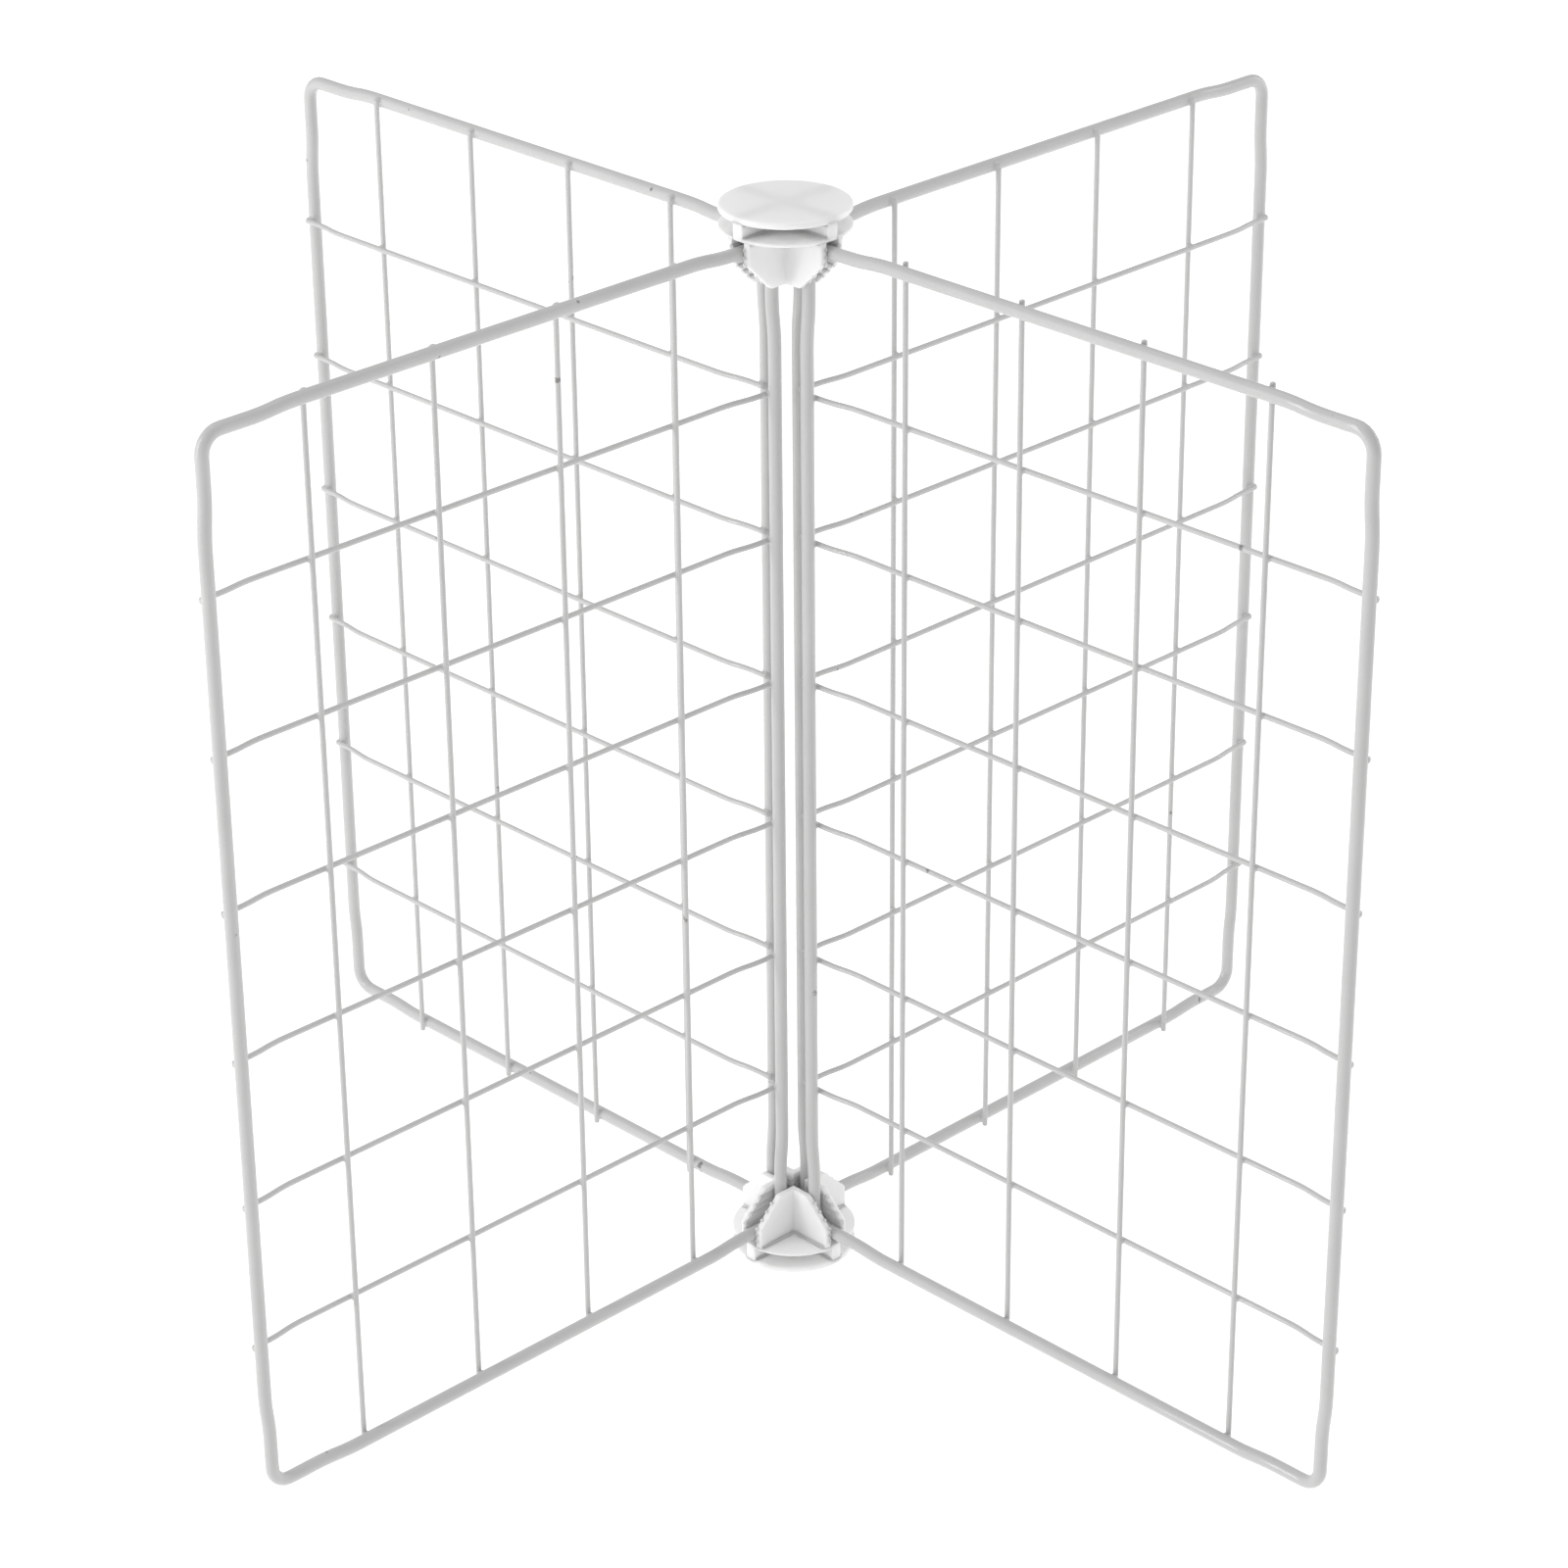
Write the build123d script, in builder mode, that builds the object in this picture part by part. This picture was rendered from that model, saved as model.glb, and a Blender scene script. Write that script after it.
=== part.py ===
"""Four-sided wire display rack: four welded grid panels clipped into two snap connectors.

The panels stand in a cross, seen from above. Their inner corners are held between the ribbed
flanges of a moulded connector at the floor and of the same moulding, upside down, at the top.
The origin is the middle of the lower connector's resting face, +Z is up, sizes are millimetres.
"""

import os
from math import atan, degrees

from build123d import *

# Welded grid panel. Widths and heights are between the centrelines of the frame rod.
ROD_D = 4.8  # frame rod, with its coating
WIRE_D = 2.0  # thin wires, with their coating
PANEL_W = 250.0
PANEL_H = 395.2
BEND_R = 7.5  # corner bend, on the centreline
JOG = 1.1  # how far the rod steps inwards before each corner
JOG_START = 20.0  # from the corner to the start of the step
JOG_RUN = 20.0  # length of the step
UPRIGHTS = 4
UPRIGHT_PITCH = 53.5
CROSSWIRES = 6
CROSSWIRE_PITCH = 56.0
WELD_SINK = 0.4  # how deep a weld presses one wire into the next
CROSSWIRE_STOP = 2.0  # how far a crosswire's ends stop short of the outside of the frame
LONG_TIP = 0.6  # how far an upright's long end stands past the outside of the frame
SHORT_TIP = 0.3  # how far an upright's short end stops below the rod's centreline
WELD_LAND = 4.0  # straight end of a crosswire, inwards from the frame rod's centreline
LIFT_RUN = 18.0  # length over which a crosswire climbs onto the uprights

# Snap connector
CONN_D = 47.0
DISC_T = 2.5
GAP = 5.0  # side opening that takes the rod of a panel laid flat
PLATE_T = 1.2
WALL_T = 2.6  # flange on each side of a slot
SLOT_W = 5.7  # between the flanges' walls
TOOTH = 0.35  # gripping rib on the slot's walls
TOOTH_W = 1.3
TOOTH_PITCH = 2.6
TEETH = 6
RIB_W = 4.7  # rib under each slot
CONN_H = 27.4
SHOULDER = 16.0  # height at which the flanges' outer edges start to slope inwards
EDGE_R = 1.0

# Assembly
NEAR_REACH = 5.8  # from the rack's axis to the inner rods of the front and back panels
FAR_REACH = 10.2  # the same for the right and left panels, which those two keep further out
RAIL_RISE = 12.0  # from the resting face to the lower rod's centreline
TOTAL_H = PANEL_H + 2 * RAIL_RISE

rod_r = ROD_D / 2
wire_r = WIRE_D / 2
disc_r = CONN_D / 2
lap = rod_r + wire_r - WELD_SINK  # from the panel's mid plane to a wire welded on the rod
cover = lap + WIRE_D - WELD_SINK  # the same for a wire welded on top of another
plate_top = DISC_T + GAP + PLATE_T
mid_height = TOTAL_H / 2

os.makedirs("parts", exist_ok=True)


def step_radius(offset, run):
    """Radius of the two equal arcs that move a wire sideways by offset over run."""
    return (run**2 + offset**2) / (4 * offset)


def step_angle(offset, run):
    """Angle in degrees that each of those two arcs turns."""
    return 2 * degrees(atan(offset / run))


def step(start, heading, side, offset, run):
    """S-shaped step: leaves start along heading and ends parallel to it, offset to one side."""
    radius = step_radius(offset, run)
    turn = side * step_angle(offset, run)
    first = JernArc(start, heading, radius, turn)
    return JernArc(first @ 1, first % 1, radius, -turn)


def pitched(count, pitch):
    """Places of count wires, a pitch apart, centred on zero."""
    return [(i - (count - 1) / 2) * pitch for i in range(count)]


def save(part, name):
    """Labels a finished piece and writes it as parts/NAME.step."""
    part.label = name
    export_step(part, f"parts/{name}.step")
    print(f"{name}: {part.volume:.0f} mm3")


def frame_quarter(sx, sy):
    """A quarter of the frame's centreline, in the corner with signs sx, sy."""
    side = sx * sy
    half_w, half_h = PANEL_W / 2, PANEL_H / 2
    rail_end = (sx * (half_w - JOG_START - JOG_RUN), sy * half_h)
    Line((0, sy * half_h), rail_end)
    rail_step = step(rail_end, (sx, 0), -side, JOG, JOG_RUN)
    corner_x, corner_y = half_w - JOG - BEND_R, half_h - JOG - BEND_R
    Line(rail_step @ 1, (sx * corner_x, sy * (half_h - JOG)))
    corner = JernArc((sx * corner_x, sy * (half_h - JOG)), (sx, 0), BEND_R, -side * 90)
    stile_step_start = (sx * (half_w - JOG), sy * (half_h - JOG_START))
    Line(corner @ 1, stile_step_start)
    stile_step = step(stile_step_start, (0, -sy), side, JOG, JOG_RUN)
    Line(stile_step @ 1, (sx * half_w, 0))


def make_frame(name, face):
    """Frame of one panel: a rod bent into a loop, with a step beside each corner."""
    with BuildPart() as frame:
        with BuildLine(face) as loop:
            for sx in (1, -1):
                for sy in (1, -1):
                    frame_quarter(sx, sy)
        with BuildSketch(loop.wire() ^ 0):
            Circle(rod_r)
        sweep(path=loop.wire())
    save(frame.part, name)


def make_upright(name, face, x, wire_side, long_end):
    """Thin upright wire, welded on one face of the frame's lower and upper rods."""
    long_length = PANEL_H / 2 + rod_r + LONG_TIP
    short_length = PANEL_H / 2 - SHORT_TIP
    foot = -long_length if long_end < 0 else -short_length
    section = Plane(face.from_local_coords((x, foot, wire_side * lap)), z_dir=face.y_dir)
    with BuildPart() as upright:
        with BuildSketch(section):
            Circle(wire_r)
        extrude(amount=long_length + short_length)
    save(upright.part, name)


def make_crosswire(name, face, y, wire_side):
    """Thin level wire, welded on the frame's side rods, that climbs over the uprights between."""
    outward = face.z_dir * wire_side
    level = Plane(face.from_local_coords((0, y, 0)), x_dir=face.x_dir, z_dir=face.x_dir.cross(outward))
    with BuildPart() as crosswire:
        with BuildLine(level) as route:
            for sx in (1, -1):
                climb_top = PANEL_W / 2 - WELD_LAND - LIFT_RUN
                Line((0, cover), (sx * climb_top, cover))
                climb = step((sx * climb_top, cover), (sx, 0), -sx, cover - lap, LIFT_RUN)
                Line(climb @ 1, (sx * (PANEL_W / 2 + rod_r - CROSSWIRE_STOP), lap))
        with BuildSketch(route.wire() ^ 0):
            Circle(wire_r)
        sweep(path=route.wire())
    save(crosswire.part, name)


def make_panel(name, direction, inner_reach, wire_side, long_end):
    """One grid panel. direction points from the rack's axis to the panel's outer edge."""
    outwards = Vector(*direction)
    up = Vector(0, 0, 1)
    centre = outwards * (inner_reach + PANEL_W / 2) + up * mid_height
    face = Plane(centre, x_dir=outwards, z_dir=outwards.cross(up))
    make_frame(f"{name}_frame", face)
    for number, x in enumerate(pitched(UPRIGHTS, UPRIGHT_PITCH), 1):
        make_upright(f"{name}_upright_wire_{number}", face, x, wire_side, long_end)
    for number, y in enumerate(pitched(CROSSWIRES, CROSSWIRE_PITCH), 1):
        make_crosswire(f"{name}_cross_wire_{number}", face, y, wire_side)


# Lower connector: a disc, ribs under the slots, a thin plate and four L-shaped pairs of flanges
with BuildPart() as bottom_connector:
    with BuildSketch():
        Circle(disc_r)
    extrude(amount=DISC_T)
    fillet(bottom_connector.edges(), EDGE_R)

    with BuildSketch(Plane.XY.offset(DISC_T)):
        Rectangle(CONN_D, RIB_W)
        Rectangle(RIB_W, CONN_D)
        Circle(disc_r - EDGE_R / 2, mode=Mode.INTERSECT)
    extrude(amount=GAP)

    with BuildSketch(Plane.XY.offset(DISC_T + GAP)):
        Circle(disc_r)
    extrude(amount=PLATE_T)

    # Flanges, as high as the connector
    with BuildSketch(Plane.XY.offset(plate_top)):
        Circle(disc_r)
        Rectangle(CONN_D, SLOT_W, mode=Mode.SUBTRACT)
        Rectangle(SLOT_W, CONN_D, mode=Mode.SUBTRACT)
        pocket_edge = SLOT_W / 2 + WALL_T
        pocket_centre = (pocket_edge + disc_r / 2) * 2**0.5
        with PolarLocations(pocket_centre, 4, start_angle=45, rotate=False):
            RectangleRounded(disc_r, disc_r, WALL_T / 2, mode=Mode.SUBTRACT)
    extrude(amount=CONN_H - plate_top)

    # Gripping ribs on both walls of the four slots
    tooth_reach = disc_r - TOOTH
    for quarter in range(4):
        slot_line = Vector(1, 0, 0).rotate(Axis.Z, 90 * quarter)
        with BuildSketch(Plane(slot_line * (SLOT_W / 2), x_dir=slot_line.rotate(Axis.Z, 90), z_dir=slot_line)):
            for wall in (1, -1):
                for row in range(TEETH):
                    height = plate_top + (row + 1) * TOOTH_PITCH
                    root = wall * (SLOT_W / 2 + TOOTH)
                    wall_line = wall * SLOT_W / 2
                    tip = wall * (SLOT_W / 2 - TOOTH)
                    with BuildLine():
                        Polyline(
                            (root, height - TOOTH_W / 2),
                            (wall_line, height - TOOTH_W / 2),
                            (tip, height),
                            (wall_line, height + TOOTH_W / 2),
                            (root, height + TOOTH_W / 2),
                            close=True,
                        )
                    make_face()
        extrude(amount=tooth_reach - SLOT_W / 2)

    # Sloping shoulders
    for slope_plane in (Plane.XZ, Plane.YZ):
        with BuildSketch(slope_plane):
            for side in (1, -1):
                with BuildLine():
                    Polyline(
                        (side * disc_r, SHOULDER),
                        (side * (disc_r + SHOULDER), SHOULDER),
                        (side * (disc_r + SHOULDER), CONN_H + SHOULDER),
                        (side * (disc_r + SHOULDER - CONN_H - SHOULDER), CONN_H + SHOULDER),
                        close=True,
                    )
                make_face()
        extrude(amount=disc_r, both=True, mode=Mode.SUBTRACT)
save(bottom_connector.part, "bottom_connector")

# Upper connector: the same moulding, turned over
with BuildPart() as top_connector:
    mirror(bottom_connector.part, about=Plane.XY.offset(mid_height))
save(top_connector.part, "top_connector")

# name, direction from the axis, reach of the inner rod, side that carries the wires, long ends
PANELS = [
    ("front", (0, -1, 0), NEAR_REACH, 1, -1),
    ("right", (1, 0, 0), FAR_REACH, -1, 1),
    ("back", (0, 1, 0), NEAR_REACH, 1, -1),
    ("left", (-1, 0, 0), FAR_REACH, -1, -1),
]
for panel in PANELS:
    make_panel(*panel)
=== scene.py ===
# %% [markdown]
# # A wire grid display rack
#
# Four welded wire grid panels stand in a cross and are clipped, top and bottom, into two round
# plastic connectors. The CAD model gives every size and place. This lesson gives the rack its
# looks: rods and wires that are bent, welded and powder coated, and connectors that are moulded.

# %% Load the CAD model and read its overall size
import random
from math import asin, atan, copysign, cos, degrees, hypot, pi, radians, sin, sqrt

import bmesh
import bpy
from mathutils import Matrix, Vector


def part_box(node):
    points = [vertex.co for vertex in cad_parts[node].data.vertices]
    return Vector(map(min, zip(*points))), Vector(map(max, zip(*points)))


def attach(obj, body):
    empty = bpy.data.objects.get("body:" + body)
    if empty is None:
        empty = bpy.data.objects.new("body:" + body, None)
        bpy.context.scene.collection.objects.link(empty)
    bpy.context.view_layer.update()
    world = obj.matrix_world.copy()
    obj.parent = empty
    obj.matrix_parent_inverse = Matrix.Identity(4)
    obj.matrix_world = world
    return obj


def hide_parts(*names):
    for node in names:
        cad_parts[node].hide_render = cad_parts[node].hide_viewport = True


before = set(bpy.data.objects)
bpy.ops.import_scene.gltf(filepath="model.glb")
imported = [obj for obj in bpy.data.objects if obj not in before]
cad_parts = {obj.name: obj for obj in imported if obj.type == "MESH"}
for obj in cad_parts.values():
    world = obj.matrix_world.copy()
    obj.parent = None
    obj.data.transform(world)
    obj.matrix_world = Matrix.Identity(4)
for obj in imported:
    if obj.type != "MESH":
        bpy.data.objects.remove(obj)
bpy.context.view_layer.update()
MM = 0.001
UP = Vector((0, 0, 1))

# %% [markdown]
# ## The camera
#
# The rack is seen from between two of its panels, a little from above, with a long lens from about
# 1.65 metres away. A long lens keeps the perspective mild, as in a product picture. The rotation is
# built up as a person would turn a camera: heading, then tilt, then a slight roll.

# %% Camera
CAMERA_AZIMUTH = radians(-44.422)
CAMERA_DISTANCE = 1.4855
CAMERA_HEIGHT = 0.9284
CAMERA_HEADING = radians(45.665)
CAMERA_TILT = radians(26.249)
CAMERA_ROLL = radians(0.517)
CAMERA_LENS = 104.03
SENSOR_WIDTH = 36

camera_data = bpy.data.cameras.new("camera")
camera_data.lens = CAMERA_LENS
camera_data.sensor_width = SENSOR_WIDTH
camera = bpy.data.objects.new("camera", camera_data)
place = Vector((cos(CAMERA_AZIMUTH), sin(CAMERA_AZIMUTH), 0)) * CAMERA_DISTANCE + UP * CAMERA_HEIGHT
camera.matrix_world = (
    Matrix.Translation(place)
    @ Matrix.Rotation(CAMERA_HEADING, 4, "Z")
    @ Matrix.Rotation(pi / 2 - CAMERA_TILT, 4, "X")
    @ Matrix.Rotation(-CAMERA_ROLL, 4, "Z")
)
bpy.context.scene.collection.objects.link(camera)
bpy.context.scene.camera = camera
print("camera stands at", [round(n, 3) for n in place])

# %% [markdown]
# ## A way to write node trees
#
# Shader trees and Geometry Nodes trees are both made of nodes and links. Two small classes let
# them be written as plain expressions. `Flow` is one output of a node, and adding or multiplying
# it adds the Math node that does so. `Tree.node` is the one way in which any other node is made.

# %% Node tree helpers
class Flow:
    """One output socket, used in expressions like a number."""

    def __init__(self, tree, socket):
        self.tree = tree
        self.socket = socket

    def output(self, name):
        """Another output of the same node."""
        return Flow(self.tree, self.socket.node.outputs[name])

    def __add__(self, value):
        return self.tree.maths("ADD", self, value)

    __radd__ = __add__

    def __mul__(self, value):
        return self.tree.maths("MULTIPLY", self, value)

    __rmul__ = __mul__

    def __sub__(self, value):
        return self.tree.maths("SUBTRACT", self, value)

    def __rsub__(self, value):
        return self.tree.maths("SUBTRACT", value, self)


class Tree:
    """A shader tree or a Geometry Nodes tree that is being written."""

    def __init__(self, tree):
        self.tree = tree

    def feed(self, socket, value):
        """Links a flow to a socket, or sets the socket's own value."""
        if isinstance(value, Flow):
            self.tree.links.new(value.socket, socket)
        else:
            socket.default_value = value

    def node(self, kind, settings=None, values=None, out=0):
        """Adds a node: its settings first, then the values or links of its inputs."""
        made = self.tree.nodes.new(kind)
        for name, value in (settings or {}).items():
            setattr(made, name, value)
        for name, value in (values or {}).items():
            self.feed(made.inputs[name], value)
        return Flow(self, made.outputs[out]) if made.outputs else made

    def maths(self, operation, *values):
        """A Math node. Its inputs go by number, because they share one name."""
        return self.node("ShaderNodeMath", {"operation": operation}, dict(enumerate(values)))


# %% [markdown]
# ## Powder coat
#
# The rods and wires are steel with a white powder coat, baked on. Such a coat is semi-gloss: a thin
# clear skin over a duller white. Close up it has a faint orange-peel ripple. Its colour drifts a
# little, because the powder lies thicker in some spots. Here and there soot shows through the coat
# as a small dark speck, so a mask makes a few of those. All the patterns are read from object
# coordinates, which here are metres, so their scales are real sizes.

# %% Powder coat finish
THIN_COAT = (0.51, 0.51, 0.506, 1)
THICK_COAT = (0.58, 0.58, 0.575, 1)
SOOT = (0.16, 0.15, 0.14, 1)
SOOT_STRENGTH = 0.8
SPECK_MASK = {"From Min": 0.735, "From Max": 0.765}


def start_material(name):
    """A new material, its tree, and its shader node."""
    material = bpy.data.materials.new(name)
    material.use_nodes = True
    tree = Tree(material.node_tree)
    shader = material.node_tree.nodes["Principled BSDF"]
    return material, tree, shader


def noise(tree, position, size, detail=2.0, roughness=0.5):
    """A noise whose features are about size metres across."""
    settings = {"noise_dimensions": "3D"}
    values = {"Vector": position, "Scale": 1 / size, "Detail": detail, "Roughness": roughness}
    return tree.node("ShaderNodeTexNoise", settings, values)


def between(mask, low, high):
    """A number that goes from low to high as mask goes from 0 to 1."""
    return mask * (high - low) + low


def mix(tree, mask, low, high):
    """A colour that goes from low to high as mask goes from 0 to 1."""
    colours = {"Factor": mask, 6: low, 7: high}  # 6, 7 and 2 are the node's colour sockets
    return tree.node("ShaderNodeMix", {"data_type": "RGBA"}, colours, out=2)


def bump(tree, pattern, strength, depth):
    """A normal that follows a pattern of heights, in metres."""
    values = {"Strength": strength, "Distance": depth, "Height": pattern}
    return tree.node("ShaderNodeBump", {}, values)


def powder_coat():
    material, tree, shader = start_material("white_powder_coat")
    position = tree.node("ShaderNodeTexCoord").output("Object")
    drift = noise(tree, position, 30 * MM)
    speck_place = noise(tree, position, 9 * MM, 3.0)
    speck = tree.node(
        "ShaderNodeMapRange",
        {"interpolation_type": "SMOOTHSTEP"},
        {"Value": speck_place, **SPECK_MASK},
    )
    coat = mix(tree, drift, THIN_COAT, THICK_COAT)
    peel = noise(tree, position, 0.7 * MM, 2.0, 0.6)
    tree.feed(shader.inputs["Base Color"], mix(tree, speck * SOOT_STRENGTH, coat, SOOT))
    tree.feed(shader.inputs["Roughness"], between(drift, 0.30, 0.40))
    tree.feed(shader.inputs["Normal"], bump(tree, peel, 0.25, 0.05 * MM))
    shader.inputs["Specular IOR Level"].default_value = 0.25
    shader.inputs["Coat Weight"].default_value = 0.6
    shader.inputs["Coat Roughness"].default_value = 0.05
    return material


POWDER_COAT = powder_coat()

# %% [markdown]
# ## Moulded plastic
#
# The connectors are white ABS, moulded with a very fine grain. ABS lets light in under its skin,
# which softens thin edges, so the shader gets some subsurface scattering. The gloss drifts slightly
# where the plastic flowed.

# %% Plastic finish
DULL_WHITE = (0.90, 0.90, 0.895, 1)
BRIGHT_WHITE = (0.94, 0.94, 0.935, 1)
LIGHT_DEPTH = (3.6 * MM, 3.5 * MM, 3.4 * MM)


def moulded_plastic():
    material, tree, shader = start_material("white_moulded_plastic")
    position = tree.node("ShaderNodeTexCoord").output("Object")
    flow = noise(tree, position, 12 * MM, 3.0)
    grain = noise(tree, position, 0.35 * MM, 2.0, 0.7)
    tree.feed(shader.inputs["Base Color"], mix(tree, flow, DULL_WHITE, BRIGHT_WHITE))
    tree.feed(shader.inputs["Roughness"], between(flow, 0.26, 0.36))
    tree.feed(shader.inputs["Normal"], bump(tree, grain, 0.12, 0.03 * MM))
    shader.inputs["Subsurface Weight"].default_value = 0.5
    shader.inputs["Subsurface Radius"].default_value = LIGHT_DEPTH
    shader.inputs["Subsurface Scale"].default_value = 1.0
    return material


PLASTIC = moulded_plastic()

# %% [markdown]
# ## Where the panels are
#
# Everything about a panel is read from its CAD nodes: which way it points, which side carries the
# thin wires, how thick the rod is. A panel then has its own flat coordinates. They are how far a
# point is from the rack's axis, how far off the panel's mid plane towards its wires, and how high.

# %% Panels read from the CAD nodes
UPRIGHTS = 4
CROSS_WIRES = 6


def node_span(node, direction):
    """Lowest and highest reach of a CAD node along a direction that is plus or minus an axis."""
    low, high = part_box(node)
    return tuple(sorted((low.dot(direction), high.dot(direction))))


def middle(span):
    return (span[0] + span[1]) / 2


def inside(span, margin):
    """A span that is shorter by a margin at both ends."""
    return span[0] + margin, span[1] - margin


class Panel:
    """One grid panel, measured from its CAD nodes."""

    def __init__(self, name):
        self.name = name
        self.body = name + "_panel"
        self.frame_node = name + "_frame"
        self.upright_nodes = [f"{name}_upright_wire_{n + 1}" for n in range(UPRIGHTS)]
        self.cross_nodes = [f"{name}_cross_wire_{n + 1}" for n in range(CROSS_WIRES)]
        low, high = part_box(self.frame_node)
        centre = (low + high) / 2
        if abs(centre.x) > abs(centre.y):
            self.out = Vector((copysign(1, centre.x), 0, 0))
            across = Vector((0, 1, 0))
        else:
            self.out = Vector((0, copysign(1, centre.y), 0))
            across = Vector((1, 0, 0))
        low_wire, high_wire = node_span(self.upright_nodes[0], across)
        self.side = across if low_wire + high_wire > 0 else -across
        self.reach = node_span(self.frame_node, self.out)
        self.height = node_span(self.frame_node, UP)
        self.rod_r = node_span(self.frame_node, self.side)[1]
        self.wire_r = (high_wire - low_wire) / 2

    def place(self, reach, offset, height):
        """The point at this distance from the axis, distance from the mid plane, and height."""
        return self.out * reach + self.side * offset + UP * height


PANELS = [Panel(name) for name in ("front", "right", "back", "left")]
ROD_R = PANELS[0].rod_r
WIRE_R = PANELS[0].wire_r
print(f"rod {2000 * ROD_R:.2f} mm, thin wire {2000 * WIRE_R:.2f} mm across")

# %% [markdown]
# ## One Geometry Nodes tree for every rod and wire
#
# A rod and a thin wire are made the same way: wire is drawn, cut, bent and coated. So one tree
# makes them all. It takes a route, which is a chain of corner points with a bend radius stored at
# each. It rounds the corners, sweeps a circle along the route, domes the cut ends, and lets the
# coat swell and thin by a few hundredths of a millimetre. The result is turned into a plain mesh.
# The sizes of a dome are in wire radii.

# %% Geometry Nodes: a coated wire along a route
BEND_POINTS = 10
DOME_RINGS = 8
DOME_WIDTH = 0.985
DOME_DEPTH = 0.45
DOME_START = 0.4
COAT_RIPPLE = 0.10 * MM
RIPPLE_SIZE = 7 * MM


def start_geometry_tree(name, inputs):
    """A new Geometry Nodes tree, and its inputs by name as flows."""
    group = bpy.data.node_groups.new(name, "GeometryNodeTree")
    group.interface.new_socket("Geometry", in_out="INPUT", socket_type="NodeSocketGeometry")
    for label, kind in inputs.items():
        group.interface.new_socket(label, in_out="INPUT", socket_type=kind)
    group.interface.new_socket("Geometry", in_out="OUTPUT", socket_type="NodeSocketGeometry")
    tree = Tree(group)
    start = group.nodes.new("NodeGroupInput")
    return tree, {socket.name: Flow(tree, socket) for socket in start.outputs}


def end_geometry_tree(tree, geometry, material):
    """Realizes the instances, sets the material and ends the tree."""
    real = tree.node("GeometryNodeRealizeInstances", {}, {"Geometry": geometry})
    painted = tree.node("GeometryNodeSetMaterial", {}, {"Geometry": real, "Material": material})
    tree.node("NodeGroupOutput", {}, {"Geometry": painted})
    return tree.tree


def round_bar(tree, curve, given):
    """Sweeps a circle along a curve, with the tree's own Radius and Sides."""
    circle = tree.node(
        "GeometryNodeCurvePrimitiveCircle",
        {"mode": "RADIUS"},
        {"Resolution": given["Sides"], "Radius": given["Radius"]},
    )
    swept = {"Curve": curve, "Profile Curve": circle, "Fill Caps": True}
    return tree.node("GeometryNodeCurveToMesh", {}, swept)


def coated_wire_tree():
    inputs = {
        "Radius": "NodeSocketFloat",
        "Sides": "NodeSocketInt",
        "Spacing": "NodeSocketFloat",
        "Coat Ripple": "NodeSocketFloat",
        "Ripple Size": "NodeSocketFloat",
        "Cut Ends": "NodeSocketBool",
        "Seed": "NodeSocketFloat",
        "Material": "NodeSocketMaterial",
    }
    tree, given = start_geometry_tree("coated_wire", inputs)
    chain = tree.node("GeometryNodeMeshToCurve", {}, {"Mesh": given["Geometry"]})
    bend = tree.node("GeometryNodeInputNamedAttribute", {"data_type": "FLOAT"}, {"Name": "bend"})
    route = tree.node(
        "GeometryNodeFilletCurve",
        {"mode": "POLY"},
        {"Curve": chain, "Count": BEND_POINTS, "Radius": bend, "Limit Radius": True},
    )
    route = tree.node(
        "GeometryNodeResampleCurve",
        {"mode": "LENGTH"},
        {"Curve": route, "Length": given["Spacing"]},
    )
    tube = round_bar(tree, route, given)
    tangent = tree.node("GeometryNodeInputTangent")
    facing = tree.node("FunctionNodeAlignRotationToVector", {"axis": "Z"}, {"Vector": tangent})
    tips = tree.node("GeometryNodeCurveEndpointSelection")
    both = {0: tips, 1: given["Cut Ends"]}
    chosen = tree.node("FunctionNodeBooleanMath", {"operation": "AND"}, both)
    ball = tree.node(
        "GeometryNodeMeshUVSphere",
        {},
        {"Segments": given["Sides"], "Rings": DOME_RINGS, "Radius": given["Radius"]},
    )
    ends = tree.node(
        "GeometryNodeInstanceOnPoints",
        {},
        {
            "Points": route,
            "Selection": chosen,
            "Instance": ball,
            "Rotation": facing,
            "Scale": (DOME_WIDTH, DOME_WIDTH, DOME_DEPTH),
        },
    )
    whole = tree.node("GeometryNodeJoinGeometry", {}, {"Geometry": tube})
    tree.tree.links.new(ends.socket, whole.socket.node.inputs["Geometry"])
    whole = tree.node("GeometryNodeRealizeInstances", {}, {"Geometry": whole})
    fineness = tree.maths("DIVIDE", 1.0, given["Ripple Size"])
    swell = tree.node(
        "ShaderNodeTexNoise",
        {"noise_dimensions": "4D"},
        {"W": given["Seed"], "Scale": fineness, "Detail": 2.0},
    )
    normal = tree.node("GeometryNodeInputNormal")
    push = tree.node(
        "ShaderNodeVectorMath",
        {"operation": "SCALE"},
        {"Vector": normal, "Scale": (swell - 0.5) * given["Coat Ripple"]},
    )
    whole = tree.node("GeometryNodeSetPosition", {}, {"Geometry": whole, "Offset": push})
    whole = tree.node("GeometryNodeSetShadeSmooth", {}, {"Geometry": whole, "Shade Smooth": True})
    return end_geometry_tree(tree, whole, given["Material"])


def chain_mesh(name, points, bends, closed=False):
    """A chain of edges through points, with the bend radius stored at each point."""
    edges = [(n, n + 1) for n in range(len(points) - 1)]
    if closed:
        edges.append((len(points) - 1, 0))
    mesh = bpy.data.meshes.new(name)
    mesh.from_pydata([tuple(p) for p in points], edges, [])
    attribute = mesh.attributes.new("bend", "FLOAT", "POINT")
    attribute.data.foreach_set("value", bends)
    return mesh


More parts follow.
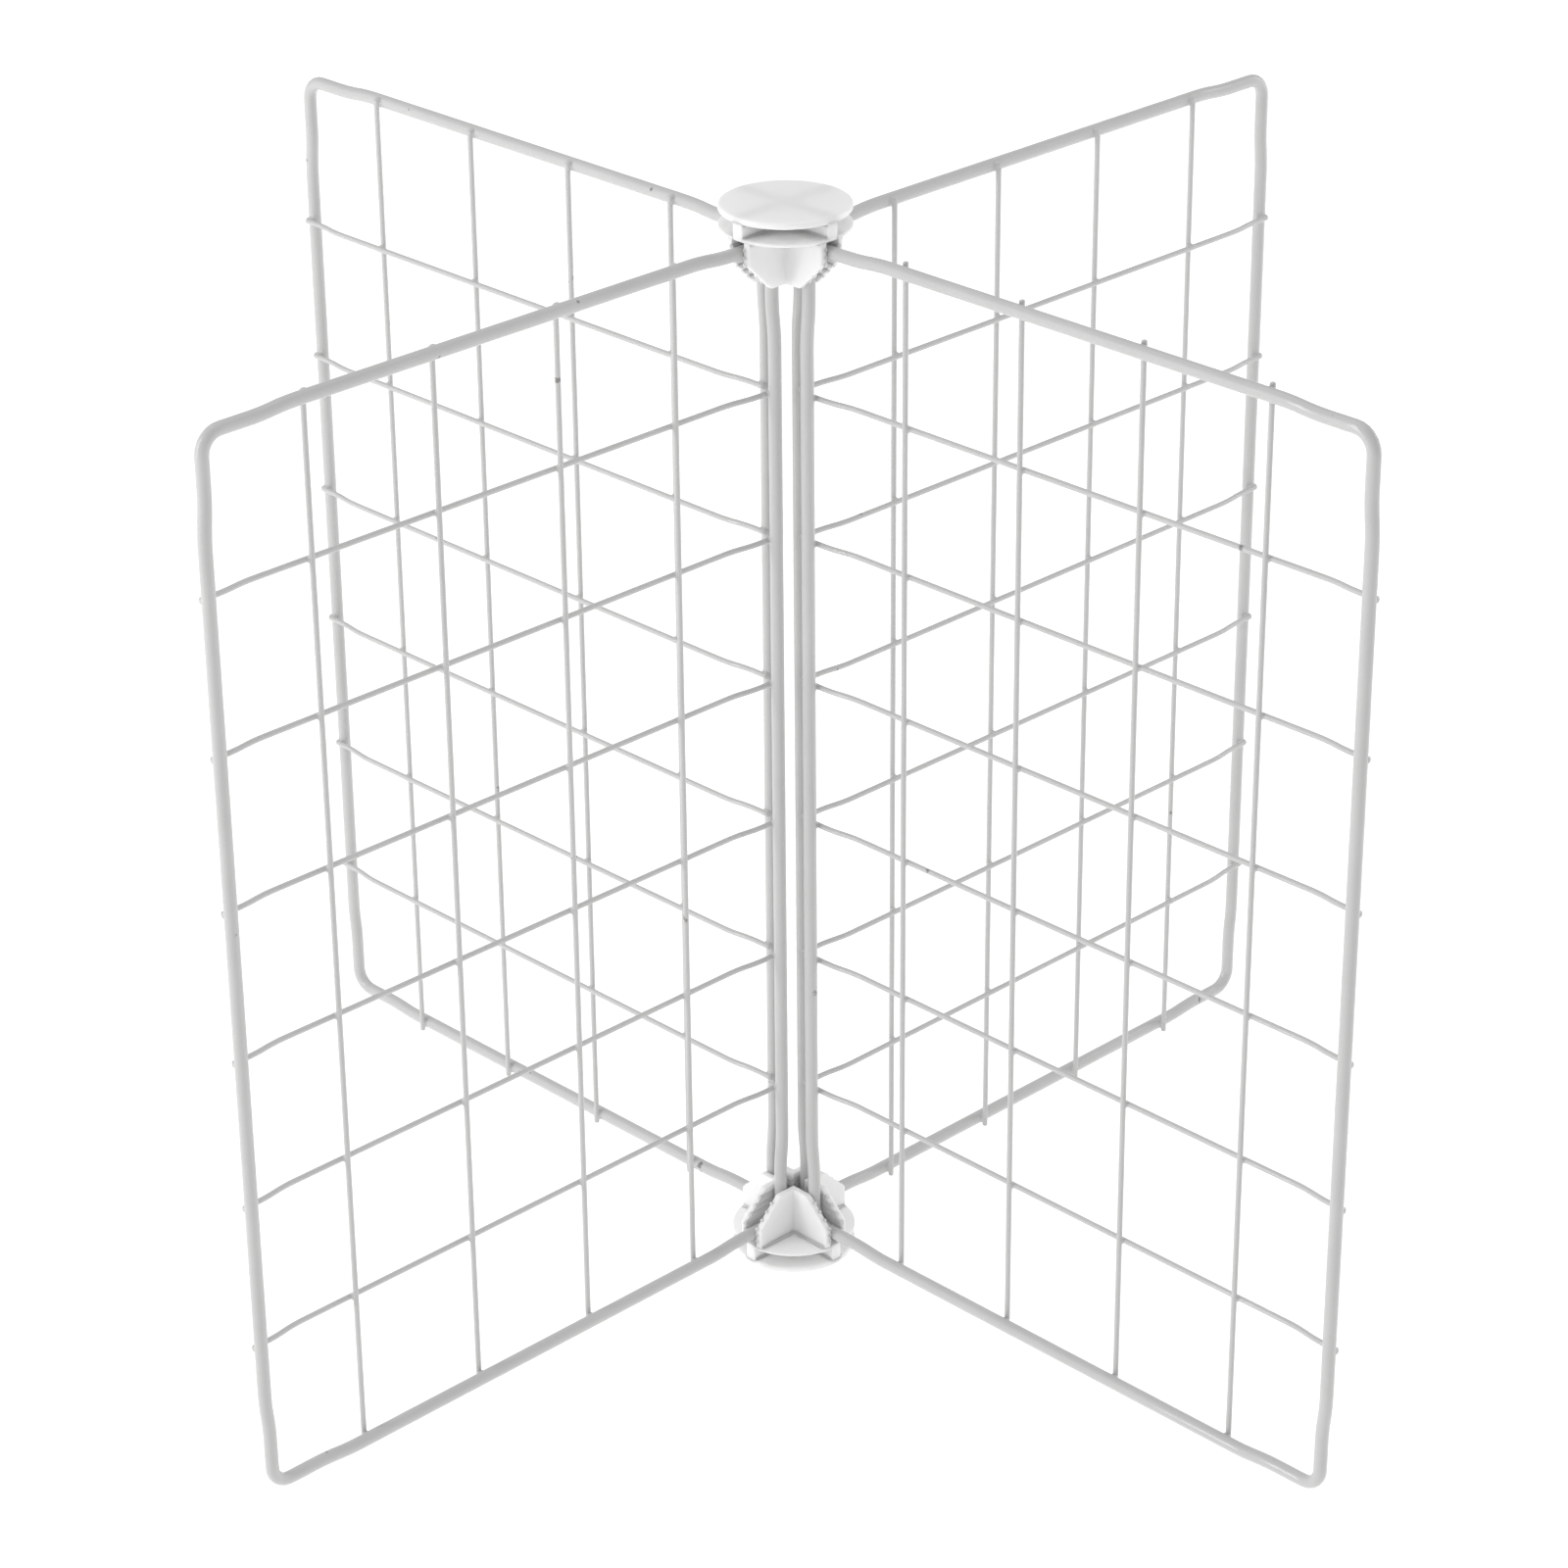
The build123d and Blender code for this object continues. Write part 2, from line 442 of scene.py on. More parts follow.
def grow(name, source, group, values):
    """Runs a Geometry Nodes tree on a source mesh and returns the result as a plain mesh object."""
    piece = bpy.data.objects.new(name, source)
    bpy.context.scene.collection.objects.link(piece)
    modifier = piece.modifiers.new("grow", "NODES")
    modifier.node_group = group
    for item in group.interface.items_tree:
        if item.in_out == "INPUT" and item.name in values:
            modifier[item.identifier] = values[item.name]
    graph = bpy.context.evaluated_depsgraph_get()
    result = bpy.data.meshes.new_from_object(piece.evaluated_get(graph), depsgraph=graph)
    piece.modifiers.remove(modifier)
    piece.data = result
    result.name = name
    return piece


COATED_WIRE = coated_wire_tree()


def coated_wire(name, points, bends, radius, sides, spacing, closed=False):
    """One rod or wire along its route."""
    values = {
        "Radius": radius,
        "Sides": sides,
        "Spacing": spacing,
        "Coat Ripple": COAT_RIPPLE,
        "Ripple Size": RIPPLE_SIZE,
        "Cut Ends": not closed,
        "Seed": random.Random(name).uniform(0, 50),
        "Material": POWDER_COAT,
    }
    return grow(name, chain_mesh(name, points, bends, closed), COATED_WIRE, values)


# %% [markdown]
# ## Frame rods
#
# A frame is one rod bent into a rectangle with round corners. Just before each corner the rod
# steps inwards by about a millimetre, in two equal arcs. A route needs only their corner points,
# because the tree rounds them.

# %% Frame rods
STEP_IN = 1.1 * MM
STEP_START = 20 * MM
STEP_RUN = 20 * MM
CORNER_BEND = 7.5 * MM
ROD_SIDES = 28
ROD_SPACING = 2 * MM


def step_bend(offset, run):
    """Radius of the two equal arcs of a step, and how far their corner points lie from its ends."""
    radius = (run**2 + offset**2) / (4 * offset)
    return radius, radius * offset / run


def frame_route(reaches, heights):
    """Corner points (reach, height) and bend radii of the rod's closed route."""
    low_reach, high_reach = reaches
    low_height, high_height = heights
    bend, tangent = step_bend(STEP_IN, STEP_RUN)
    corners = [
        (Vector((high_reach, low_height)), Vector((1, 0)), Vector((0, 1))),
        (Vector((high_reach, high_height)), Vector((0, 1)), Vector((-1, 0))),
        (Vector((low_reach, high_height)), Vector((-1, 0)), Vector((0, -1))),
        (Vector((low_reach, low_height)), Vector((0, -1)), Vector((1, 0))),
    ]
    far = STEP_START + STEP_RUN - tangent
    near = STEP_START + tangent
    points, bends = [], []
    for corner, arriving, leaving in corners:
        points += [
            corner - arriving * far,
            corner - arriving * near + leaving * STEP_IN,
            corner + (leaving - arriving) * STEP_IN,
            corner + leaving * near - arriving * STEP_IN,
            corner + leaving * far,
        ]
        bends += [bend, bend, CORNER_BEND, bend, bend]
    return points, bends


for panel in PANELS:
    flat, bends = frame_route(inside(panel.reach, ROD_R), inside(panel.height, ROD_R))
    points = [panel.place(point.x, 0, point.y) for point in flat]
    name = panel.name + "_coated_frame"
    rod = coated_wire(name, points, bends, ROD_R, ROD_SIDES, ROD_SPACING, closed=True)
    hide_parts(panel.frame_node)
    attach(rod, panel.body)
    print(rod.name, len(rod.data.polygons), "faces")

# %% [markdown]
# ## Thin wires
#
# Thin wires are straightened from a coil and dropped into a welding jig, so no two lie quite
# alike. Each one gets a tilt of a fraction of a millimetre, chosen from its name, so it is the
# same on every run. The uprights lie on the frame. The cross wires lie over the uprights and bend
# down to the frame at their ends.

# %% Thin wires
WELD_LAND = 4 * MM
LIFT_RUN = 18 * MM
TILT = 0.5 * MM
WIRE_SIDES = 16
UPRIGHT_SPACING = 3 * MM
CROSS_SPACING = 2 * MM


class Line:
    """A thin wire's centreline in its panel: from start to end, with a small tilt at each."""

    def __init__(self, node, start, end, level):
        rng = random.Random(node)
        self.start, self.end = start, end
        self.low = level + rng.uniform(-TILT, TILT)
        self.high = level + rng.uniform(-TILT, TILT)

    def at(self, along):
        """The wire's level, at a distance along it."""
        share = (along - self.start) / (self.end - self.start)
        return self.low + (self.high - self.low) * share


def thin_wire(node, points, bends, spacing):
    name = node.replace("wire", "coated_wire")
    return coated_wire(name, points, bends, WIRE_R, WIRE_SIDES, spacing)


for panel in PANELS:
    panel.lap = middle(node_span(panel.upright_nodes[0], panel.side))
    panel.cover = node_span(panel.cross_nodes[0], panel.side)[1] - WIRE_R
    panel.uprights = []
    for node in panel.upright_nodes:
        foot, head = node_span(node, UP)
        line = Line(node, foot, head, middle(node_span(node, panel.out)))
        panel.uprights.append(line)
        ends = inside((foot, head), DOME_START * WIRE_R)
        points = [panel.place(line.at(height), panel.lap, height) for height in ends]
        wire = thin_wire(node, points, [0, 0], UPRIGHT_SPACING)
        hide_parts(node)
        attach(wire, panel.body)

    panel.cross_wires = []
    first, last = inside(panel.reach, ROD_R + WELD_LAND)
    bend, tangent = step_bend(panel.cover - panel.lap, LIFT_RUN)
    for node in panel.cross_nodes:
        inner, outer = node_span(node, panel.out)
        line = Line(node, inner, outer, middle(node_span(node, UP)))
        panel.cross_wires.append(line)
        inner_end, outer_end = inside((inner, outer), DOME_START * WIRE_R)
        route = [
            (inner_end, panel.lap, 0),
            (first + tangent, panel.lap, bend),
            (first + LIFT_RUN - tangent, panel.cover, bend),
            (last - LIFT_RUN + tangent, panel.cover, bend),
            (last - tangent, panel.lap, bend),
            (outer_end, panel.lap, 0),
        ]
        points = [panel.place(reach, offset, line.at(reach)) for reach, offset, _ in route]
        wire = thin_wire(node, points, [radius for _, _, radius in route], CROSS_SPACING)
        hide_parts(node)
        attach(wire, panel.body)
print(len(PANELS) * (UPRIGHTS + CROSS_WIRES), "thin wires")

# %% [markdown]
# ## Welds
#
# Where two wires cross they are pressed together and resistance welded, and the powder coat fills
# the narrow corner between them. So each crossing has a small fillet. Its shape is the smooth
# union of two crossing cylinders: from the middle of the weld, each vertex is moved outwards until
# it meets that surface. The rest of the bead stays just under the wires' skin. The rows of vertices
# are at angles in degrees above and below the weld, closest together where the fillet is. The bead
# reaches out to nearly two radii of the upper wire.

# %% The shape of a weld bead
BEAD_COLUMNS = 20
BEAD_ROWS = [-58, -40, -26, -15, -6, 2, 10, 19, 30, 44, 60]
BEAD_REACH = 1.9
HALVINGS = 20
BEAD_BLEND = 1.3 * MM
BEAD_UNDER = 0.03 * MM


def bead_distance(point, under_r, over_r, sink):
    """Distance from the smooth union of a cylinder along X, below, and one along Y, above."""
    under = hypot(point.y, point.z + under_r - sink / 2) - under_r
    over = hypot(point.x, point.z - over_r + sink / 2) - over_r
    overlap = max(BEAD_BLEND - abs(under - over), 0) / BEAD_BLEND
    return min(under, over) - overlap**2 * BEAD_BLEND / 4 + BEAD_UNDER


def bead_point(direction, reach, under_r, over_r, sink):
    """Where a ray from the middle of the weld leaves the smooth union, within reach."""
    near, far = 0.0, reach
    if bead_distance(direction * far, under_r, over_r, sink) < 0:
        return direction * far
    for _ in range(HALVINGS):
        half = (near + far) / 2
        if bead_distance(direction * half, under_r, over_r, sink) < 0:
            near = half
        else:
            far = half
    return direction * near


def bead_shape(name, under_r, over_r, sink):
    """The weld between a wire along X, below, and a wire along Y, above, as a closed mesh."""
    reach = BEAD_REACH * over_r
    built = bmesh.new()
    rings = []
    for row in BEAD_ROWS:
        tilt = radians(row)
        ring = []
        for column in range(BEAD_COLUMNS):
            turn = 2 * pi * column / BEAD_COLUMNS
            ray = Vector((cos(turn) * cos(tilt), sin(turn) * cos(tilt), sin(tilt)))
            ring.append(built.verts.new(bead_point(ray, reach, under_r, over_r, sink)))
        rings.append(ring)
    for lower, upper in zip(rings, rings[1:]):
        for n in range(BEAD_COLUMNS):
            m = (n + 1) % BEAD_COLUMNS
            built.faces.new((lower[n], lower[m], upper[m], upper[n]))
    for ring, way in ((rings[0], -1), (rings[-1], 1)):
        pole = built.verts.new(bead_point(Vector((0, 0, way)), reach, under_r, over_r, sink))
        for n in range(BEAD_COLUMNS):
            m = (n + 1) % BEAD_COLUMNS
            built.faces.new((ring[n], ring[m], pole)[::way])
    mesh = bpy.data.meshes.new(name)
    built.to_mesh(mesh)
    built.free()
    return bpy.data.objects.new(name, mesh)


# %% [markdown]
# The beads repeat at every crossing, so Geometry Nodes place them. The tree instances a bead on
# each point of a mesh, turned by a rotation that is stored at the point and scaled a little up or
# down at random with a fixed seed, because no two welds squeeze out alike.

# %% Geometry Nodes: a bead on every crossing
SMALLEST_BEAD = 0.96
LARGEST_BEAD = 1.06


def weld_tree():
    inputs = {
        "Bead": "NodeSocketObject",
        "Smallest": "NodeSocketFloat",
        "Largest": "NodeSocketFloat",
        "Seed": "NodeSocketInt",
        "Material": "NodeSocketMaterial",
    }
    tree, given = start_geometry_tree("welds", inputs)
    bead = tree.node("GeometryNodeObjectInfo", {}, {"Object": given["Bead"]}).output("Geometry")
    turn = tree.node(
        "GeometryNodeInputNamedAttribute",
        {"data_type": "FLOAT_VECTOR"},
        {"Name": "turn"},
    )
    size = tree.node(
        "FunctionNodeRandomValue",
        {"data_type": "FLOAT"},
        {2: given["Smallest"], 3: given["Largest"], "Seed": given["Seed"]},
        out=1,
    )
    beads = tree.node(
        "GeometryNodeInstanceOnPoints",
        {},
        {"Points": given["Geometry"], "Instance": bead, "Rotation": turn, "Scale": size},
    )
    beads = tree.node("GeometryNodeRealizeInstances", {}, {"Geometry": beads})
    beads = tree.node("GeometryNodeSetShadeSmooth", {}, {"Geometry": beads, "Shade Smooth": True})
    return end_geometry_tree(tree, beads, given["Material"])


WELDS = weld_tree()


def crossing_mesh(name, crossings):
    """A mesh with one vertex at each crossing, and the bead's rotation stored there."""
    mesh = bpy.data.meshes.new(name)
    mesh.from_pydata([tuple(place) for place, _ in crossings], [], [])
    attribute = mesh.attributes.new("turn", "FLOAT_VECTOR", "POINT")
    turns = [angle for _, turn in crossings for angle in turn]
    attribute.data.foreach_set("vector", turns)
    return mesh


def bead_turn(over_way, side):
    """Rotation that puts the bead's Y along the wire above and its Z out to the wires' side."""
    under_way = over_way.cross(side)
    out = under_way.cross(over_way)
    return Matrix((under_way, over_way, out)).transposed().to_euler()


def weld_piece(name, crossings, bead, seed):
    values = {
        "Bead": bead,
        "Smallest": SMALLEST_BEAD,
        "Largest": LARGEST_BEAD,
        "Seed": seed,
        "Material": POWDER_COAT,
    }
    return grow(name, crossing_mesh(name, crossings), WELDS, values)


sink = ROD_R + WIRE_R - PANELS[0].lap
ROD_BEAD = bead_shape("rod_bead", ROD_R, WIRE_R, sink)
WIRE_BEAD = bead_shape("wire_bead", WIRE_R, WIRE_R, sink)
for number, panel in enumerate(PANELS):
    on_rod = ROD_R - sink / 2
    on_wire = panel.lap + WIRE_R - sink / 2
    upright_turn = bead_turn(UP, panel.side)
    cross_turn = bead_turn(panel.out, panel.side)
    rod_welds = []
    for line in panel.uprights:
        for height in inside(panel.height, ROD_R):
            rod_welds.append((panel.place(line.at(height), on_rod, height), upright_turn))
    for line in panel.cross_wires:
        for reach in inside(panel.reach, ROD_R):
            rod_welds.append((panel.place(reach, on_rod, line.at(reach)), cross_turn))
    wire_welds = []
    for upright in panel.uprights:
        for line in panel.cross_wires:
            reach = upright.at(line.at(middle((line.start, line.end))))
            wire_welds.append((panel.place(reach, on_wire, line.at(reach)), cross_turn))
    for kind, crossings, bead in (("rod", rod_welds, ROD_BEAD), ("wire", wire_welds, WIRE_BEAD)):
        welds = weld_piece(f"{panel.name}_{kind}_welds", crossings, bead, number)
        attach(welds, panel.body)
        print(welds.name, len(crossings), "beads,", len(welds.data.polygons), "faces")
for bead in (ROD_BEAD, WIRE_BEAD):
    bpy.data.objects.remove(bead)

# %% [markdown]
# ## The connectors
#
# A connector is one moulding: a round foot, four ribs that cross on it, a thin plate in each
# quadrant, and an L-shaped flange on each plate. Two neighbouring flanges make a slot that grips a
# rod. A moulder rounds every outer edge and fills every inner corner, so that plastic flows and the
# part leaves the tool. Each of those shapes is simple, so each is made as its own closed shell, and
# the shells run into each other as the real walls do. Coves fill the inner corners.

# %% Sizes of the moulding
DISC_THICK = 2.5 * MM
DISC_ROUND = 1.0 * MM
SIDE_GAP = 5.0 * MM
PLATE_THICK = 1.2 * MM
SLOT_HALF = 2.85 * MM
FLANGE_THICK = 2.6 * MM
RIB_HALF = 2.35 * MM
SHOULDER_SUM = 39.5 * MM  # on a sloping shoulder, distance from the axis plus height
CREASE = 0.6 * MM
GRIP_HEIGHT = 0.35 * MM
GRIP_WIDTH = 1.3 * MM
GRIP_PITCH = 2.6 * MM
GRIP_ROWS = 6
SHELL_OVERLAP = 0.4 * MM
SHARP_ANGLE = radians(35)

low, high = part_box("bottom_connector")
CONNECTOR_R = (high.x - low.x) / 2
CONNECTOR_H = high.z - low.z
GAP_ROOF = DISC_THICK + SIDE_GAP
PLATE_TOP = GAP_ROOF + PLATE_THICK
FLANGE_BACK = SLOT_HALF + FLANGE_THICK
print(f"connector {2000 * CONNECTOR_R:.1f} mm across, {1000 * CONNECTOR_H:.1f} mm high")


# %% [markdown]
# The foot is turned about the axis from half of its section. An extruded outline makes the ribs,
# plates and flanges. Its points go round the shape once, and a Bevel modifier rounds the edges.

# %% Turned and extruded shells
def arc(centre, radius, start, end, steps):
    """Points on an arc in a plane, from one angle to another, both in degrees."""
    angles = [radians(start + (end - start) * n / steps) for n in range(steps + 1)]
    return [Vector(centre) + Vector((cos(a), sin(a))) * radius for a in angles]


def turned_shell(section, segments):
    """A closed solid of revolution. The section (radius, height) starts and ends on the axis."""
    built = bmesh.new()
    foot = built.verts.new((0, 0, section[0].y))
    head = built.verts.new((0, 0, section[-1].y))
    rings = []
    for point in section[1:-1]:
        turns = [2 * pi * n / segments for n in range(segments)]
        ring = [(point.x * cos(t), point.x * sin(t), point.y) for t in turns]
        rings.append([built.verts.new(place) for place in ring])
    for n in range(segments):
        m = (n + 1) % segments
        built.faces.new((foot, rings[0][m], rings[0][n]))
        built.faces.new((head, rings[-1][n], rings[-1][m]))
        for lower, upper in zip(rings, rings[1:]):
            built.faces.new((lower[n], lower[m], upper[m], upper[n]))
    return built


def extruded_shell(outline, bottom, top):
    """A closed prism between two heights. The outline runs anticlockwise, seen from above."""
    built = bmesh.new()
    lower = [built.verts.new((p.x, p.y, bottom)) for p in outline]
    upper = [built.verts.new((p.x, p.y, top)) for p in outline]
    built.faces.new(lower[::-1])
    built.faces.new(upper)
    for n in range(len(outline)):
        m = (n + 1) % len(outline)
        built.faces.new((lower[n], lower[m], upper[m], upper[n]))
    return built


def cut_above(built, along, sum_limit):
    """Cuts a shell off where its reach along an axis plus its height pass the limit."""
    normal = (along + UP).normalized()
    everything = built.verts[:] + built.edges[:] + built.faces[:]
    cut = bmesh.ops.bisect_plane(
        built, geom=everything, plane_co=UP * sum_limit, plane_no=normal, clear_outer=True
    )
    rim = [part for part in cut["geom_cut"] if isinstance(part, bmesh.types.BMEdge)]
    bmesh.ops.edgeloop_fill(built, edges=rim)


def rounded(built, width, segments=3):
    """The shell as a mesh whose edges are rounded by a Bevel modifier."""
    bmesh.ops.recalc_face_normals(built, faces=built.faces)
    mesh = bpy.data.meshes.new("shell")
    built.to_mesh(mesh)
    built.free()
    shell = bpy.data.objects.new("shell", mesh)
    bpy.context.scene.collection.objects.link(shell)
    bevel = shell.modifiers.new("round", "BEVEL")
    bevel.width = width
    bevel.segments = segments
    bevel.limit_method = "ANGLE"
    bevel.angle_limit = SHARP_ANGLE
    graph = bpy.context.evaluated_depsgraph_get()
    result = bpy.data.meshes.new_from_object(shell.evaluated_get(graph), depsgraph=graph)
    bpy.data.objects.remove(shell)
    return result


def foot_shell():
    """The round foot. Its section has round edges already, so it is hardly bevelled."""
    rim = CONNECTOR_R - DISC_ROUND
    section = [Vector((0, 0)), Vector((rim / 2, 0))]
    section += arc((rim, DISC_ROUND), DISC_ROUND, -90, 0, 6)
    section += arc((rim, DISC_THICK - DISC_ROUND), DISC_ROUND, 0, 90, 6)
    section += [Vector((rim / 2, DISC_THICK)), Vector((0, DISC_THICK))]
    return rounded(turned_shell(section, segments=96), 0.01 * MM, segments=1)


def rib_shell(half_x, half_y):
    """One of the two crossed ribs, with rounded ends just inside the rim."""
    inset, sink = 0.25 * MM, 1.2 * MM
    reach = CONNECTOR_R - inset
    turn = 0 if half_x > half_y else 90
    span = degrees(atan(min(half_x, half_y) / reach))
    outline = arc((0, 0), reach, turn - span, turn + span, 6)
    outline += arc((0, 0), reach, turn + 180 - span, turn + 180 + span, 6)
    return rounded(extruded_shell(outline, DISC_THICK - sink, PLATE_TOP), 0.45 * MM)


def rim_angle(offset, reach):
    """Angle in degrees from a slot's middle line to the rim, at this distance beside the line."""
    return degrees(asin(offset / reach))


def plate_shell():
    """The thin plate of the first quadrant. Its edge stands proud as a rounded lip."""
    tuck = 0.3 * MM
    inner = RIB_HALF - tuck
    start = rim_angle(inner, CONNECTOR_R)
    outline = [Vector((inner, inner))] + arc((0, 0), CONNECTOR_R, start, 90 - start, 24)
    return rounded(extruded_shell(outline, GAP_ROOF, PLATE_TOP), 0.5 * MM, segments=4)


def flange_shell():
    """The L-shaped flange of the first quadrant, with sloping shoulders."""
    inset = 0.3 * MM
    reach = CONNECTOR_R - inset
    near = rim_angle(SLOT_HALF, reach)
    far = rim_angle(FLANGE_BACK, reach)
    outline = [Vector((SLOT_HALF, SLOT_HALF))]
    outline += arc((0, 0), reach, near, far, 3)
    outline += arc((FLANGE_BACK + CREASE, FLANGE_BACK + CREASE), CREASE, 270, 180, 5)
    outline += arc((0, 0), reach, 90 - far, 90 - near, 3)
    built = extruded_shell(outline, PLATE_TOP - SHELL_OVERLAP, CONNECTOR_H)
    cut_above(built, Vector((1, 0, 0)), SHOULDER_SUM)
    cut_above(built, Vector((0, 1, 0)), SHOULDER_SUM)
    return rounded(built, 0.4 * MM)


# %% [markdown]
# A cove follows two walls round the corner of a quadrant. At each station of that path it has the
# same section: two short legs, one on the wall and one on the floor or roof, and a hollow arc
# between them.

# %% Coves
def cove_shell(wall, floor, rise, radius, corner):
    """Fills the inner corner at two walls, at a floor (rise 1) or under a roof (rise -1)."""
    short = 0.8 * MM
    end = sqrt(CONNECTOR_R**2 - wall**2) - short
    centre = Vector((wall + corner, wall + corner))
    stations = [(Vector((end, wall)), Vector((0, 1)))]
    for point in arc(centre, corner, 270, 180, 6):
        stations.append((point, (centre - point).normalized()))
    stations.append((Vector((wall, end)), Vector((1, 0))))
    section = [Vector((-SHELL_OVERLAP, -SHELL_OVERLAP)), Vector((radius, -SHELL_OVERLAP))]
    section += arc((radius, radius), radius, 270, 180, 5)
    section += [Vector((-SHELL_OVERLAP, radius))]
    built = bmesh.new()
    rings = []
    for place, inwards in stations:
        ring = []
        for point in section:
            flat = place + inwards * point.x
            ring.append(built.verts.new((flat.x, flat.y, floor + rise * point.y)))
        rings.append(ring)
    for ring, after in zip(rings, rings[1:]):
        for n in range(len(section)):
            m = (n + 1) % len(section)
            built.faces.new((ring[n], ring[m], after[m], after[n]))
    built.faces.new(rings[0])
    built.faces.new(rings[-1][::-1])
    return rounded(built, 0.02 * MM, segments=1)


# %% [markdown]
# ## Gripping ribs
#
# Six low ribs run along each wall of a slot, to grip the rod. A connector has 48 of them, so
# Geometry Nodes sweep them: each is an edge of a source mesh, and the tree lays a round bar along
# it. The bar is mostly buried in the wall, so only a low curved ridge shows.

# %% Geometry Nodes: gripping ribs
def grip_tree():
    inputs = {
        "Radius": "NodeSocketFloat",
        "Sides": "NodeSocketInt",
        "Material": "NodeSocketMaterial",
    }
    tree, given = start_geometry_tree("gripping_ribs", inputs)
    lines = tree.node("GeometryNodeMeshToCurve", {}, {"Mesh": given["Geometry"]})
    bars = round_bar(tree, lines, given)
    return end_geometry_tree(tree, bars, given["Material"])


def grip_lines():
    """Both ends of each gripping rib on the first quadrant's flange, and the bars' radius."""
    rim_inset, shoulder_inset, start_inset = 0.6 * MM, 0.1 * MM, 0.2 * MM
    bar_r = (GRIP_WIDTH**2 / 4 + GRIP_HEIGHT**2) / (2 * GRIP_HEIGHT)
    depth = SLOT_HALF + bar_r - GRIP_HEIGHT
    start = depth + start_inset
    lines = []
    for row in range(GRIP_ROWS):
        height = PLATE_TOP + (row + 1) * GRIP_PITCH
        reach = min(CONNECTOR_R - rim_inset, SHOULDER_SUM - height - shoulder_inset)
        lines.append((Vector((start, depth, height)), Vector((reach, depth, height))))
        lines.append((Vector((depth, start, height)), Vector((depth, reach, height))))
    return lines, bar_r


def grip_bars():
    lines, bar_r = grip_lines()
    source = bpy.data.meshes.new("grips")
    points = [tuple(point) for line in lines for point in line]
    source.from_pydata(points, [(n, n + 1) for n in range(0, len(points), 2)], [])
    bars = grow("grips", source, grip_tree(), {"Radius": bar_r, "Sides": 20, "Material": PLASTIC})
    mesh = bars.data
    bpy.data.objects.remove(bars)
    return mesh


# %% [markdown]
# The shells of one quadrant are turned about the axis for the other three. The upper connector is
# the same moulding turned over, which a mirror in the rack's middle height gives. A mirror turns
# faces inside out, so they are flipped back.

# %% Both connectors
QUADRANT = [
    plate_shell(),
    flange_shell(),
    cove_shell(FLANGE_BACK, PLATE_TOP, rise=1, radius=0.9 * MM, corner=CREASE),
    cove_shell(RIB_HALF, DISC_THICK, rise=1, radius=0.8 * MM, corner=1.0 * MM),
    cove_shell(RIB_HALF, GAP_ROOF, rise=-1, radius=0.8 * MM, corner=1.0 * MM),
    grip_bars(),
]
WHOLE = [foot_shell(), rib_shell(CONNECTOR_R, RIB_HALF), rib_shell(RIB_HALF, CONNECTOR_R)]


def connector(name, node, turned_over):
    """One whole connector, as one mesh."""
    built = bmesh.new()
    for mesh in WHOLE:
        built.from_mesh(mesh)
    for quarter in range(4):
        turn = Matrix.Rotation(quarter * pi / 2, 4, "Z")
        for mesh in QUADRANT:
            placed = mesh.copy()
            placed.transform(turn)
            built.from_mesh(placed)
            bpy.data.meshes.remove(placed)
    if turned_over:
        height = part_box("top_connector")[1].z
        for vertex in built.verts:
            vertex.co.z = height - vertex.co.z
        bmesh.ops.reverse_faces(built, faces=built.faces)
    mesh = bpy.data.meshes.new(name)
    built.to_mesh(mesh)
    built.free()
    mesh.materials.clear()
    mesh.materials.append(PLASTIC)
    mesh.shade_smooth()
    mesh.set_sharp_from_angle(angle=SHARP_ANGLE)
    piece = bpy.data.objects.new(name, mesh)
    bpy.context.scene.collection.objects.link(piece)
    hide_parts(node)
    print(name, len(mesh.polygons), "faces")
    return piece


bottom_connector = connector("moulded_bottom_connector", "bottom_connector", False)
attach(bottom_connector, "base")
top_connector = connector("moulded_top_connector", "top_connector", True)
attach(top_connector, "top")

# %% [markdown]
# ## Floor and light
#
# The rack stands on a plain pale floor that glows a little, so that it stays white right up to the
# rods. White wire on white only shows by its own shading, so the light is soft and not strong. Two
# narrow strips, one on each side, draw a thin bright line along the glossy coat of every rod.

# %% Floor and lights
FLOOR_HALF = 6.0
FLOOR_GLOW = 0.45
FLOOR_GREY = (0.84, 0.84, 0.84, 1)
FLOOR_WHITE = (0.86, 0.86, 0.86, 1)
WORLD_STRENGTH = 0.58


